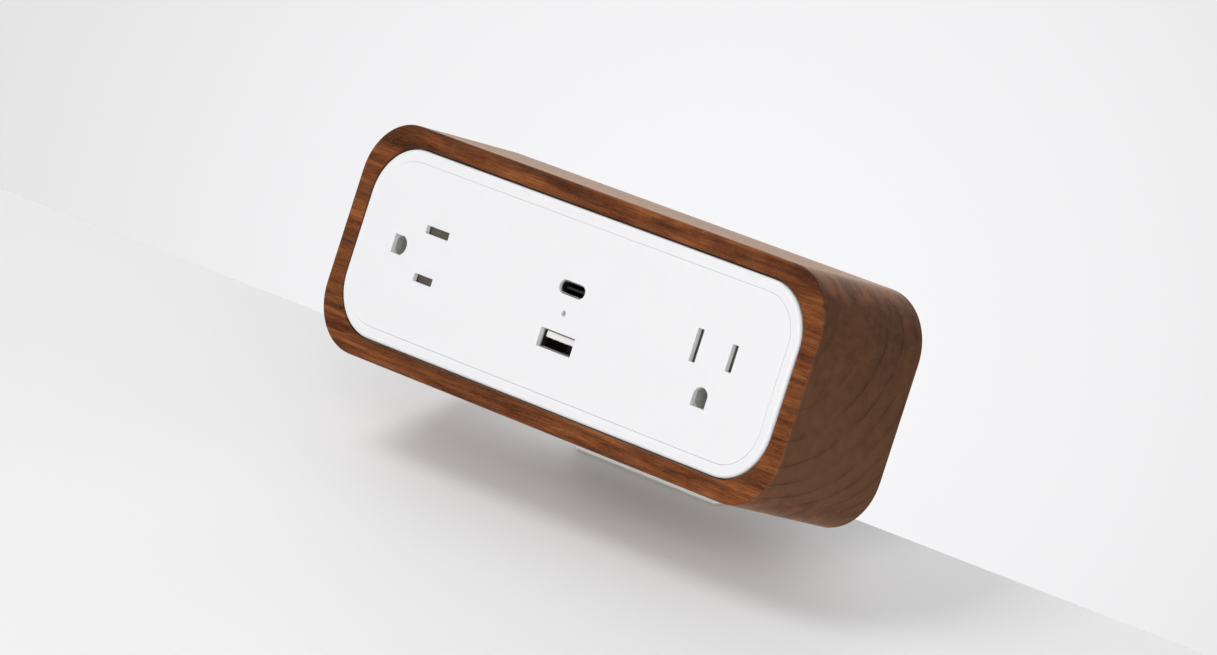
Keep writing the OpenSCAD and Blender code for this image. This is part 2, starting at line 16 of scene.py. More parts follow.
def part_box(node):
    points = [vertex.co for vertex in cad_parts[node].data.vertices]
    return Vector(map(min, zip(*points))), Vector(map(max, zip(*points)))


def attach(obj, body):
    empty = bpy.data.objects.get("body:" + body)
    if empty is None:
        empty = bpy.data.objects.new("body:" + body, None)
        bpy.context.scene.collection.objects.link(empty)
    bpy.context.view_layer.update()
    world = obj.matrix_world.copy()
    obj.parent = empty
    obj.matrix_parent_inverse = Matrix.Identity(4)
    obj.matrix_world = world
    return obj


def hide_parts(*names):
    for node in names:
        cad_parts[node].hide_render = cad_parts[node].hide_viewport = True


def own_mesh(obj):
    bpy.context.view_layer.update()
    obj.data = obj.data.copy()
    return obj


MM = 0.001

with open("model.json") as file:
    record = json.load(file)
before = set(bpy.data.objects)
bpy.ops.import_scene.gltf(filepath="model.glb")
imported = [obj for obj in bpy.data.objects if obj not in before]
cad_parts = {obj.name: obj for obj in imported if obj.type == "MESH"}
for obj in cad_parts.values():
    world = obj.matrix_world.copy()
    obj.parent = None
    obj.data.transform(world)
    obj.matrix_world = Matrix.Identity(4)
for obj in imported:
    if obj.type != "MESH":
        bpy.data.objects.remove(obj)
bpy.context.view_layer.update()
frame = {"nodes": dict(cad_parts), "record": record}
nodes = frame["nodes"]
mounts = {m["name"]: m for m in frame["record"]["mounts"]}

# ---- The hub's own frame, from the place and direction of its USB-C port ----

# Places on the front, and how far the front stands proud of the wood, in millimetres
USB_X = 0.5
USB_C_Z = 5.4
USB_A_Z = -8.6
PROUD = 0.4
right = Vector((1, 0, 0))
back = -Vector(mounts["usb_c_port"]["axis"])
up = right.cross(back)
port = Vector(mounts["usb_c_port"]["pos_m"])
hub_origin = port - right * USB_X * MM - up * USB_C_Z * MM + back * PROUD * MM
HUB = Matrix((right, back, up)).transposed().to_4x4()
HUB.translation = hub_origin

# ---- Camera ----


def make_camera():
    """A long lens from the right front, a little above, and hardly rolled."""
    azimuth, elevation, dip = math.radians(47.48), math.radians(21.05), math.radians(0.41)
    toward = Vector((math.sin(azimuth) * math.cos(elevation),
                     -math.cos(azimuth) * math.cos(elevation), math.sin(elevation)))
    level = Vector((math.cos(azimuth), math.sin(azimuth), 0))
    above = toward.cross(level)
    side = level * math.cos(dip) - above * math.sin(dip)
    data = bpy.data.cameras.new("camera")
    data.sensor_width = 36
    data.lens = 213.3
    data.clip_start, data.clip_end = 0.05, 50
    cam = bpy.data.objects.new("camera", data)
    pose = Matrix((side, toward.cross(side), toward)).transposed().to_4x4()
    pose.translation = Vector((1.26158, -1.17896, 0.70355))
    cam.matrix_world = pose
    bpy.context.scene.collection.objects.link(cam)
    bpy.context.scene.camera = cam
    return toward


toward_camera = make_camera()

# ---- Materials ----


class Paint:
    """Builds one procedural material around its Principled shader."""

    def __init__(self, name, rough, color=None, metallic=0.0, specular=0.5, **shader):
        self.mat = bpy.data.materials.new(name)
        self.mat.use_nodes = True
        self.tree = self.mat.node_tree
        self.bsdf = self.tree.nodes["Principled BSDF"]
        self.bsdf.inputs["Roughness"].default_value = rough
        self.bsdf.inputs["Metallic"].default_value = metallic
        self.bsdf.inputs["Specular IOR Level"].default_value = specular
        if color:
            self.bsdf.inputs["Base Color"].default_value = (*color, 1)
        for socket, value in shader.items():
            self.bsdf.inputs[socket.replace("_", " ")].default_value = value
        self.space = self.add("ShaderNodeTexCoord").outputs["Object"]

    def add(self, kind, inputs=None, **props):
        made = self.tree.nodes.new(kind)
        for key, value in props.items():
            setattr(made, key, value)
        for key, value in (inputs or {}).items():
            if isinstance(value, bpy.types.NodeSocket):
                self.tree.links.new(value, made.inputs[key])
            else:
                made.inputs[key].default_value = value
        return made

    def set(self, socket, value):
        self.tree.links.new(value, self.bsdf.inputs[socket])

    def math(self, operation, a, b=0.0, c=0.0):
        return self.add("ShaderNodeMath", {0: a, 1: b, 2: c}, operation=operation).outputs[0]

    def stretch(self, scale, offset=(0, 0, 0), vector=None):
        return self.add("ShaderNodeMapping", {"Vector": vector or self.space, "Scale": scale,
                                              "Location": offset}).outputs[0]

    def noise(self, scale, vector=None, detail=3.0, rough=0.55, warp=0.0):
        return self.add("ShaderNodeTexNoise", {"Vector": vector or self.space, "Scale": scale,
                                               "Detail": detail, "Roughness": rough,
                                               "Distortion": warp}).outputs[0]

    def ramp(self, fac, *stops):
        made = self.add("ShaderNodeValToRGB", {"Fac": fac})
        elements = made.color_ramp.elements
        while len(elements) < len(stops):
            elements.new(0.5)
        for element, (place, color) in zip(elements, stops):
            element.position = place
            element.color = (*color, 1) if isinstance(color, tuple) else (color, color, color, 1)
        return made.outputs[0]

    def mix(self, fac, a, b, blend="MIX"):
        colors = [c if isinstance(c, bpy.types.NodeSocket) else (*c, 1) for c in (a, b)]
        return self.add("ShaderNodeMix", {0: fac, 6: colors[0], 7: colors[1]},
                        data_type="RGBA", blend_type=blend).outputs[2]

    def bump(self, height, depth, strength=1.0):
        """Bump of a real depth, in metres."""
        made = self.add("ShaderNodeBump", {"Height": height, "Distance": depth, "Strength": strength})
        self.set("Normal", made.outputs[0])


def tone(color, share):
    return tuple(min(1.0, c * share) for c in color)


def moulded(name, color, rough=0.45, grain=2600.0, depth=0.00002, spread=0.03, **shader):
    """Moulded plastic, rubber or paint: a fine skin texture with slight variations in tone and gloss."""
    p = Paint(name, rough, **shader)
    skin = p.noise(grain, detail=2.0)
    cloud = p.noise(90.0, detail=3.0)
    p.set("Base Color", p.ramp(cloud, (0.3, tone(color, 1 - spread)), (0.7, tone(color, 1 + spread))))
    p.set("Roughness", p.ramp(p.noise(500.0), (0.3, rough - 0.05), (0.75, rough + 0.07)))
    p.bump(skin, depth)
    return p.mat


def metal(name, color, rough=0.3, lines=(1, 1, 14), depth=0.000006, spread=0.12):
    """Drawn, brushed or plated metal: fine lines, patches of tone and a varied gloss."""
    p = Paint(name, rough, metallic=1.0)
    streak = p.noise(900.0, p.stretch(lines), detail=4.0, rough=0.7)
    patch = p.noise(260.0, detail=4.0)
    p.set("Base Color", p.ramp(patch, (0.3, tone(color, 1 - spread)), (0.7, tone(color, 1 + spread))))
    p.set("Roughness", p.ramp(streak, (0.3, rough - 0.09), (0.75, rough + 0.14)))
    p.bump(streak, depth)
    return p.mat


def port_metal_painted_shade(name, color):
    """Plated steel, with painted shade that darkens it into the port's depth."""
    p = Paint(name, 0.35, metallic=1.0)
    along = p.add("ShaderNodeVectorMath", {0: p.space, 1: tuple(back)}, operation="DOT_PRODUCT")
    depth = p.math("ADD", along.outputs["Value"], -port.dot(back))
    patch = p.noise(700.0, detail=4.0)
    base = p.ramp(patch, (0.3, tone(color, 0.8)), (0.7, color))
    # painted shade: the steel is mixed towards near black the deeper it lies in the port, standing in for the
    # shade inside it
    shade = p.ramp(p.math("MULTIPLY", depth, 100.0), (0.0, 0.0), (0.35, 0.9))
    p.set("Base Color", p.mix(shade, base, (0.05, 0.042, 0.036)))
    p.set("Roughness", p.ramp(p.noise(900.0, p.stretch((1, 10, 1))), (0.3, 0.28), (0.75, 0.45)))
    p.bump(patch, 0.000006)
    return p.mat


def walnut():
    """Walnut cut from one block, with its grain along x and the tree's middle off its front top."""
    p = Paint("walnut_oiled", 0.5, specular=0.05, Coat_Weight=0.06, Coat_Roughness=0.35,
              Sheen_Weight=0.3, Sheen_Roughness=0.3, Sheen_Tint=(1, 0.72, 0.5, 1))
    mm = p.stretch((1000, 1000, 1000))

    def vector(operation, a, b):
        return p.add("ShaderNodeVectorMath", {0: a, 1: b}, operation=operation).outputs[0]

    def drift(scale, reach, detail):
        """A slow sideways wander of the grain, in millimetres."""
        field = p.add("ShaderNodeTexNoise", {"Vector": p.stretch(scale, vector=mm), "Scale": 1.0,
                                             "Detail": detail, "Roughness": 0.5}).outputs["Color"]
        return vector("MULTIPLY", vector("SUBTRACT", field, (0.5, 0.5, 0.5)), (0, reach, reach))

    broad, fine = drift((0.011, 0.03, 0.03), 3.2, 2.0), drift((0.05, 0.25, 0.25), 0.8, 3.0)
    bent = vector("ADD", vector("ADD", mm, broad), fine)
    parts = p.add("ShaderNodeSeparateXYZ", {0: bent}).outputs
    # distance from the middle of the tree, which lies at y = -8, z = 20
    dy = p.math("ADD", parts[1], 8.0)
    dz = p.math("ADD", parts[2], -20.0)
    radius = p.math("SQRT", p.math("ADD", p.math("MULTIPLY", dy, dy), p.math("MULTIPLY", dz, dz)))
    over = p.math("ADD", radius, -24.8)
    # growth rings that get closer together outwards
    squared = p.math("MULTIPLY", p.math("MULTIPLY", over, over), 0.0026)
    count = p.math("ADD", p.math("MULTIPLY", over, 0.115), squared)
    year = p.math("FRACT", p.math("ADD", count, 40.0))
    late = p.ramp(year, (0.0, 0.8), (0.05, 0.12), (0.3, 0.0), (0.7, 0.08), (0.9, 0.35), (0.97, 1.0))
    # long fibres, broad streaks, soft patches and open pores
    fibre = p.noise(1.0, p.stretch((0.11, 3.4, 3.4), vector=mm), detail=6.0, rough=0.75)
    streak = p.noise(1.0, p.stretch((0.022, 0.34, 0.34), (7, 3, 1), vector=bent), detail=6.0, rough=0.68)
    figure = p.noise(1.0, p.stretch((0.1, 0.14, 0.14), (3, 9, 5), vector=mm), detail=2.0)
    mottle = p.noise(1.0, p.stretch((0.9, 2.2, 2.2), (2, 2, 8), vector=mm), detail=3.0, rough=0.6)
    cells = p.stretch((0.36, 2.9, 2.9), vector=bent)
    pore_field = p.add("ShaderNodeTexVoronoi", {"Vector": cells, "Scale": 1.0, "Randomness": 1.0},
                       feature="F1").outputs["Distance"]
    pore_gate = p.noise(1.0, p.stretch((0.12, 0.5, 0.5), (1, 4, 2), vector=mm), detail=2.0)
    pore_gate = p.ramp(pore_gate, (0.4, 0.0), (0.5, 1.0))
    pore = p.math("MULTIPLY", p.ramp(pore_field, (0.1, 1.0), (0.2, 0.0)), pore_gate)
    # colours: long grain is warm and reddish, and the cut ends are duller
    base = p.ramp(streak, (0.38, (0.032, 0.0075, 0.0025)), (0.46, (0.105, 0.028, 0.0075)),
                  (0.53, (0.175, 0.051, 0.0138)), (0.64, (0.29, 0.094, 0.027)))
    base = p.mix(p.ramp(fibre, (0.4, 0.75), (0.54, 0.0)), base, (0.03, 0.0075, 0.0025))
    base = p.mix(p.ramp(mottle, (0.35, 0.0), (0.8, 0.35)), base, (0.25, 0.088, 0.03))
    dull = p.ramp(streak, (0.34, (0.088, 0.036, 0.0165)), (0.68, (0.13, 0.058, 0.03)))
    dull = p.mix(p.ramp(mottle, (0.3, 0.16), (0.7, 0.0)), dull, (0.04, 0.017, 0.009))
    normal = p.add("ShaderNodeSeparateXYZ", {0: p.add("ShaderNodeTexCoord").outputs["Normal"]}).outputs[0]
    end = p.ramp(p.math("ABSOLUTE", normal), (0.5, 0.0), (0.92, 1.0))
    # the cut end is paler towards the desk
    low = p.math("MULTIPLY_ADD", p.add("ShaderNodeSeparateXYZ", {0: mm}).outputs[2], -0.014, 0.5)
    dull = p.mix(p.ramp(low, (0.25, 0.0), (0.9, 0.4)), dull, (0.2, 0.095, 0.052))
    base = p.mix(end, base, dull)
    # rings come and go along the block
    fade = p.noise(1.0, p.stretch((0.1, 0.07, 0.07), (5, 1, 3), vector=mm), detail=2.0)
    fade = p.ramp(fade, (0.4, 0.1), (0.64, 0.6))
    base = p.mix(p.math("MULTIPLY", late, fade), base, (0.026, 0.009, 0.0045))
    base = p.mix(p.ramp(figure, (0.42, 0.0), (0.8, 0.3)), base, (0.2, 0.082, 0.036))
    p.set("Base Color", p.mix(p.math("MULTIPLY", pore, 0.85), base, (0.012, 0.005, 0.003)))
    p.set("Roughness", p.ramp(fibre, (0.3, 0.42), (0.75, 0.62)))
    p.bump(p.math("SUBTRACT", p.math("MULTIPLY", fibre, 0.3), pore), 0.00008, 0.7)
    return p.mat


def board(name):
    """Green solder mask with faint tracks under it."""
    p = Paint(name, 0.3)
    grid = p.add("ShaderNodeTexBrick", {"Vector": p.stretch((1, 1, 1)), "Scale": 260.0, "Mortar Size": 0.03,
                                        "Color1": (0.02, 0.13, 0.06, 1), "Color2": (0.03, 0.16, 0.075, 1),
                                        "Mortar": (0.05, 0.24, 0.11, 1)}).outputs[0]
    p.set("Base Color", p.mix(p.ramp(p.noise(700.0), (0.45, 0.0), (0.6, 0.5)), grid, (0.02, 0.1, 0.05)))
    p.bump(p.noise(1800.0), 0.00001)
    return p.mat


def tape(name, color):
    """Polyester tape wound in layers."""
    p = Paint(name, 0.25)
    layer = p.noise(1500.0, p.stretch((0.1, 0.1, 1)), detail=2.0)
    p.set("Base Color", p.ramp(layer, (0.35, tone(color, 0.75)), (0.6, color)))
    p.bump(layer, 0.00004)
    return p.mat


def ceramic(name, color, rough):
    p = Paint(name, rough)
    speck = p.noise(2400.0, detail=4.0, rough=0.7)
    p.set("Base Color", p.ramp(speck, (0.35, tone(color, 0.7)), (0.65, tone(color, 1.12))))
    p.set("Roughness", p.ramp(p.noise(800.0), (0.3, rough - 0.1), (0.7, rough + 0.1)))
    p.bump(speck, 0.00002)
    return p.mat


MATERIALS = {
    "walnut": walnut(),
    "white_front": moulded("white_front_satin", (0.715, 0.715, 0.725), 0.42, 3200.0, 0.000006, 0.008),
    "grey_plastic": moulded("grey_moulded", (0.3, 0.3, 0.3), 0.5),
    "white_plastic": moulded("white_fine_texture", (0.8, 0.8, 0.8), 0.5, 1500.0, 0.00003, 0.015),
    "black_rubber": moulded("black_rubber_matte", (0.02, 0.02, 0.02), 0.7, 1800.0, 0.00004, 0.2),
    "outlet_plastic": moulded("outlet_moulded", (0.42, 0.41, 0.39), 0.45),
    "contact_brass": metal("brass_stamped", (0.72, 0.5, 0.2), 0.28),
    "shutter_grey": moulded("shutter_taupe", (0.11, 0.095, 0.075), 0.4, spread=0.25),
    "spring_steel": metal("spring_wire", (0.55, 0.55, 0.55), 0.25),
    "port_steel": port_metal_painted_shade("port_nickel_painted_shade", (0.5, 0.48, 0.45)),
    "black_plastic": moulded("black_moulded", (0.012, 0.012, 0.013), 0.3, spread=0.2),
    "tongue_white": moulded("tongue_moulded", (0.78, 0.78, 0.75), 0.4),
    "clear_plastic": moulded("light_pipe_clear", (0.3, 0.31, 0.33), 0.15, depth=0.000004),
    "led_resin": moulded("led_resin_diffuse", (0.75, 0.72, 0.45), 0.3),
    "circuit_board": board("solder_mask"),
    "ferrite": ceramic("ferrite_sintered", (0.035, 0.035, 0.04), 0.55),
    "winding_tape": tape("winding_tape_yellow", (0.8, 0.5, 0.06)),
    "capacitor_sleeve": tape("capacitor_sleeve_black", (0.02, 0.025, 0.05)),
    "aluminium": metal("aluminium_extruded", (0.75, 0.76, 0.78), 0.35, (1, 1, 0.08)),
    "fuse_ceramic": ceramic("fuse_glazed", (0.72, 0.69, 0.6), 0.25),
    "black_wire": moulded("wire_black", (0.02, 0.02, 0.02), 0.4, spread=0.2),
    "white_wire": moulded("wire_white", (0.75, 0.75, 0.72), 0.4),
    "green_wire": moulded("wire_green", (0.02, 0.24, 0.07), 0.4, spread=0.1),
    "screw_steel": metal("screw_zinc", (0.6, 0.6, 0.62), 0.28),
    "clamp_paint": moulded("clamp_powder_coat", (0.9, 0.9, 0.905), 0.5, 900.0, 0.00005, 0.015),
    "pad_rubber": moulded("pad_silicone", (0.66, 0.62, 0.52), 0.55, 1200.0, 0.00004, 0.04,
                          Subsurface_Weight=0.2),
    "bush_brass": metal("bush_turned", (0.7, 0.5, 0.22), 0.3, (1, 1, 20)),
    "zinc_steel": metal("thread_zinc", (0.58, 0.59, 0.62), 0.3, (1, 1, 6)),
    "knob_plastic": moulded("knob_fine_texture", (0.76, 0.76, 0.76), 0.5, 1500.0, 0.00004, 0.02),
}

for node in nodes.values():
    node.material_slots[0].material = MATERIALS[node.material_slots[0].material.name]

# ---- Rounded edges on the CAD nodes that stay ----


def smooth(mesh):
    if "custom_normal" in mesh.attributes:
        mesh.attributes.remove(mesh.attributes["custom_normal"])
    for flag in ("sharp_edge", "sharp_face"):
        if flag in mesh.attributes:
            mesh.attributes.remove(mesh.attributes[flag])
    mesh.polygons.foreach_set("use_smooth", [True] * len(mesh.polygons))
    mesh.update()


def soften(node, width, segments=3, angle=28.0):
    """Rounds a CAD node's edges by width, in millimetres, and shades the rest smooth."""
    obj = nodes[node]
    smooth(obj.data)
    weld = obj.modifiers.new("weld", "WELD")
    weld.merge_threshold = 0.000002
    flat = obj.modifiers.new("flat", "DECIMATE")
    flat.decimate_type = "DISSOLVE"
    flat.angle_limit = math.radians(0.4)
    edge = obj.modifiers.new("edge", "BEVEL")
    edge.width = width * MM
    edge.segments = segments
    edge.limit_method = "ANGLE"
    edge.angle_limit = math.radians(angle)
    edge.use_clamp_overlap = True
    edge.harden_normals = False
    even = obj.modifiers.new("even", "WEIGHTED_NORMAL")
    even.keep_sharp = False
    even.weight = 60


SOFT = {
    "clamp_frame": 0.7, "rear_cover": 0.5, "clamp_knob": 0.9, "inner_chassis": 0.3, "inlet_grommet": 0.4,
    "left_outlet_body": 0.2, "right_outlet_body": 0.2, "left_shutter": 0.25, "right_shutter": 0.25,
    "left_neutral_contact": 0.08, "left_hot_contact": 0.08, "left_ground_contact": 0.12,
    "right_neutral_contact": 0.08, "right_hot_contact": 0.08, "right_ground_contact": 0.12,
    "usb_c_shell": 0.1, "usb_c_tongue": 0.12, "usb_a_shell": 0.1, "usb_a_tongue": 0.2, "usb_a_contacts": 0.05,
    "light_pipe": 0.12, "indicator_led": 0.12, "port_board": 0.1, "board_link_pins": 0.08,
    "charger_board": 0.1, "transformer_core": 0.5, "transformer_winding": 1.2, "filter_capacitors": 0.7,
    "heat_sink": 0.15, "power_chips": 0.2, "fuse": 0.4, "line_wires": 0.1, "neutral_wires": 0.1,
    "ground_wires": 0.1, "board_screws": 0.25, "case_screws": 0.25, "bracket_inserts": 0.15,
    "bracket_screws": 0.35, "jaw_pad": 0.25, "threaded_bush": 0.3, "pressure_pad": 0.9,
    "pressure_pad_face": 0.4,
}
for name, width in SOFT.items():
    soften(name, width)

# ---- Pieces made here ----


def piece(name, verts, faces, material, body, replaced=(), matrix=HUB, even=True):
    """A mesh piece from points in millimetres, smooth except at its sharp edges."""
    mesh = bpy.data.meshes.new(name)
    mesh.from_pydata([Vector(v) * MM for v in verts], [], faces)
    work = bmesh.new()
    work.from_mesh(mesh)
    bmesh.ops.remove_doubles(work, verts=work.verts, dist=0.000001)
    bmesh.ops.recalc_face_normals(work, faces=work.faces)
    work.to_mesh(mesh)
    work.free()
    mesh.polygons.foreach_set("use_smooth", [True] * len(mesh.polygons))
    mesh.set_sharp_from_angle(angle=math.radians(40))
    mesh.materials.append(MATERIALS[material])
    obj = bpy.data.objects.new(name, mesh)
    bpy.context.scene.collection.objects.link(obj)
    obj.matrix_world = matrix
    if even:
        normals = obj.modifiers.new("even", "WEIGHTED_NORMAL")
        normals.keep_sharp = True
        normals.weight = 60
    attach(obj, body)
    if replaced:
        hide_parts(*replaced)
    return obj


def rounded(w, h, r, steps=16):
    """Points of a rounded rectangle, going round once."""
    points = []
    for turn, (sx, sz) in enumerate([(1, 1), (-1, 1), (-1, -1), (1, -1)]):
        for i in range(steps + 1):
            a = math.pi / 2 * (turn + i / steps)
            points.append((sx * (w / 2 - r) + r * math.cos(a), sz * (h / 2 - r) + r * math.sin(a)))
    return points


def ring(outline, inset, y):
    """One ring of a loft: an outline moved inwards by inset, at depth y."""
    w, h, r = outline
    return [(x, y, z) for x, z in rounded(w - 2 * inset, h - 2 * inset, r - inset)]


def fillet(outline, inset, y, r, start, end, steps=6):
    """Rings round an edge: an arc in the plane of inset and depth, in degrees."""
    rings = []
    for i in range(steps + 1):
        a = math.radians(start + (end - start) * i / steps)
        rings.append(ring(outline, inset + r * math.cos(a), y + r * math.sin(a)))
    return rings


def loft(rings, shift=0):
    """Faces between rings of equal length, the last one joined to the first."""
    n = len(rings[0])
    verts = [p for one in rings for p in one]
    faces = []
    for i in range(len(rings)):
        j = (i + 1) % len(rings)
        for k in range(n):
            m = (k + 1) % n
            faces.append((shift + i * n + k, shift + i * n + m, shift + j * n + m, shift + j * n + k))
    return verts, faces


# Outlines as length, height and corner radius, and depths from the wood's front, in millimetres
CASE = (171, 62, 15.5)
CASE_D = 38
POCKET = (159.8, 51.8, 14.9)
CAVITY = (153, 45, 11)
REAR_POCKET = (157.6, 48.6, 12.8)
FRONT = (159, 51, 14.5)
SEAT = (152.6, 44.6, 11.3)
SHELF = (146.4, 38.4, 8.2)
PANEL = (152.5, 44.5, 11.25)
PANEL_BACK = 1.1
BEZEL_BACK = 6
WALL = 3
POST_X, POST_Z, POST_R, POST_BORE = 71.3, 17.1, 2.8, 1.1


def make_case():
    edge, lip = 0.7, 0.25
    rings = fillet(CASE, edge, CASE_D - edge, edge, 90, 180)
    rings += fillet(CASE, edge, edge, edge, 180, 270)
    rings += fillet(POCKET, -lip, lip, lip, 270, 360, 4)
    rings += [ring(POCKET, 0, BEZEL_BACK), ring(CAVITY, 0, BEZEL_BACK)]
    rings += [ring(CAVITY, 0, CASE_D - WALL), ring(REAR_POCKET, 0, CASE_D - WALL)]
    rings += fillet(REAR_POCKET, -lip, CASE_D - lip, lip, 0, 90, 4)
    piece("walnut_case_shell", *loft(rings), "walnut", "hub", ["walnut_case"])


def tube(x, z, r, bore, y0, y1, shift, steps=32):
    """A short tube along y, as one closed loop of rings."""
    turns = [2 * math.pi * i / steps for i in range(steps)]

    def circle(radius, y):
        return [(x + radius * math.cos(a), y, z + radius * math.sin(a)) for a in turns]

    return loft([circle(r, y0), circle(r, y1), circle(bore, y1), circle(bore, y0)], shift)


def make_bezel():
    edge, step = 1.05, 0.15
    rings = [ring(FRONT, 0.2, BEZEL_BACK), ring(FRONT, 0, BEZEL_BACK - 0.2)]
    rings += fillet(FRONT, edge, edge - PROUD, edge, 180, 270, 8)
    rings += [ring(FRONT, 1.7, -PROUD), ring(FRONT, 1.95, step - PROUD), ring(SEAT, 0, step - PROUD)]
    rings += [ring(SEAT, 0, PANEL_BACK), ring(SHELF, 0, PANEL_BACK), ring(SHELF, 0, BEZEL_BACK)]
    verts, faces = loft(rings)
    for sx in (-1, 1):
        for sz in (-1, 1):
            more_verts, more_faces = tube(sx * POST_X, sz * POST_Z, POST_R, POST_BORE, 2.6, 10, len(verts))
            verts += more_verts
            faces += more_faces
    piece("front_bezel_ring", verts, faces, "white_front", "hub", ["front_bezel"])


# Outlets: the left one is turned a quarter, with its ground hole towards the hub's end
PITCH = 12.7
DROP = 11.9
SHUTTER_MID = 2.8


def left_outlet(x, z):
    return (-51.5 + z, 0.3 - x)


def right_outlet(x, z):
    return (53.5 + x, 3.4 + z)


def rectangle(x, z, w, h, r=0.15):
    return [(x + px, z + pz) for px, pz in rounded(w, h, r, 3)]


def circle_points(x, z, r, start=0.0, end=360.0, steps=32):
    full = end - start >= 360
    count = steps if full else steps + 1
    return [(x + r * math.cos(math.radians(start + (end - start) * i / steps)),
             z + r * math.sin(math.radians(start + (end - start) * i / steps))) for i in range(count)]


def ground_hole():
    """A U-shaped hole: round at the top, flat at the bottom, in the outlet's own frame."""
    half, arc_r = 2.5, 2.7
    side = math.degrees(math.acos(half / arc_r))
    arc = [p for p in circle_points(0, -0.1, arc_r, side, 180 - side) if p[1] <= 2.6]
    return [(x, z - DROP) for x, z in [(-half, -half), (half, -half), *arc]]


def make_panel():
    lip = 0.12
    holes = [[(USB_X + x, USB_C_Z + z) for x, z in rounded(9.4, 3.6, 1.79, 10)],
             rectangle(USB_X, USB_A_Z, 12.6, 4.9), circle_points(0.2, -1.1, 0.75, steps=24)]
    for place in (left_outlet, right_outlet):
        for loop in (rectangle(-PITCH / 2, 0, 2.1, 8.6), rectangle(PITCH / 2, 0, 2.1, 7), ground_hole()):
            holes.append([place(x, z) for x, z in loop])
    curve = bpy.data.curves.new("panel_outline", "CURVE")
    curve.dimensions = "2D"
    curve.fill_mode = "BOTH"
    curve.extrude = ((PANEL_BACK + PROUD) / 2 - lip) * MM
    curve.bevel_depth = lip * MM
    curve.bevel_resolution = 2
    curve.offset = -lip * MM
    for loop in [rounded(*PANEL), *holes]:
        spline = curve.splines.new("POLY")
        spline.points.add(len(loop) - 1)
        for point, (x, z) in zip(spline.points, loop):
            point.co = (x * MM, z * MM, 0, 1)
        spline.use_cyclic_u = True
    shape = bpy.data.objects.new("panel_outline", curve)
    bpy.context.scene.collection.objects.link(shape)
    made = bpy.data.meshes.new_from_object(shape.evaluated_get(bpy.context.evaluated_depsgraph_get()))
    mid = (PANEL_BACK - PROUD) / 2
    verts = [(v.co.x / MM, mid - v.co.z / MM, v.co.y / MM) for v in made.vertices]
    faces = [tuple(f.vertices) for f in made.polygons]
    bpy.data.objects.remove(shape)
    piece("front_panel_plate", verts, faces, "white_front", "hub", ["front_panel"])


def coil(start, length, turns, radius, wire, place, steps=20, around=10):
    """Points and faces of a spring's wire, in the hub's frame, along an outlet's x."""
    verts, faces = [], []
    count = turns * steps
    for i in range(count + 1):
        a = 2 * math.pi * i / steps
        x = start + wire + (length - 2 * wire) * i / count
        for k in range(around):
            b = 2 * math.pi * k / around
            r = radius + wire * math.cos(b)
            px, pz = place(x + wire * math.sin(b), r * math.sin(a))
            verts.append((px, SHUTTER_MID + r * math.cos(a), pz))
    for i in range(count):
        for k in range(around):
            m = (k + 1) % around
            faces.append((i * around + k, i * around + m, (i + 1) * around + m, (i + 1) * around + k))
    faces.append(tuple(range(around)))
    faces.append(tuple(count * around + k for k in range(around)))
    return verts, faces


# A shutter's own end and its pocket's, along the outlet's x
SHUTTER_END = 8.8
POCKET_END = 13.2
SPRING_TURNS, SPRING_R, SPRING_WIRE = 2, 1.25, 0.15


def make_spring(side, place, body):
    name = side + "_shutter_spring"
    verts, faces = coil(SHUTTER_END + 0.05, POCKET_END - SHUTTER_END - 0.1,
                        SPRING_TURNS, SPRING_R, SPRING_WIRE, place, 32)
    obj = piece(name + "_coil", verts, faces, "spring_steel", body, [name], even=False)
    x, z = place(POCKET_END, 0)
    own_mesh(obj)


def make_screw():
    """The clamp's M8 screw with its rolled thread, ball end and run-out, in the row frame."""
    lo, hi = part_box("clamp_screw")
    top, bottom = hi.z / MM, lo.z / MM
    axis = Matrix.Translation((0, (lo.y + hi.y) / 2, 0))
    ball_r, neck_r = 3.5, 2.4
    ball_z = top - ball_r
    neck_z = ball_z - 3.6
    crest, depth, pitch, around = 3.94, 0.72, 1.25, 32
    rows = []
    z = bottom
    while z < neck_z:
        rows.append(z)
        z += pitch / 8
    rings = []
    for z in rows:
        taper = min(1.0, (z - bottom) / 1.2, (neck_z - z) / 1.2)
        one = []
        for k in range(around):
            a = 2 * math.pi * k / around
            phase = (z / pitch - k / around) % 1.0
            cut = min(1.0, max(0.0, 1.35 - abs(phase - 0.5) * 3.4)) * depth
            r = (crest - cut) * (0.8 + 0.2 * max(0.0, taper))
            one.append((r * math.cos(a), r * math.sin(a), z))
        rings.append(one)

    def flat_ring(r, z):
        return [(r * math.cos(2 * math.pi * k / around), r * math.sin(2 * math.pi * k / around), z)
                for k in range(around)]

    rings += [flat_ring(3.0, neck_z), flat_ring(neck_r, neck_z + 0.2)]
    low = -math.degrees(math.acos(neck_r / ball_r))
    for i in range(15):
        a = math.radians(low + (88 - low) * i / 14)
        rings.append(flat_ring(ball_r * math.cos(a), ball_z + ball_r * math.sin(a)))
    verts, faces = loft(rings)
    faces = faces[:-around]
    faces += [tuple(range(around)), tuple(len(verts) - around + k for k in range(around))]
    piece("clamp_screw_thread", verts, faces, "zinc_steel", "screw", ["clamp_screw"], axis, False)


make_case()
make_bezel()
make_panel()
make_spring("left", left_outlet, "hub")
make_spring("right", right_outlet, "hub")
make_screw()

# ---- Desk, light and backdrop ----


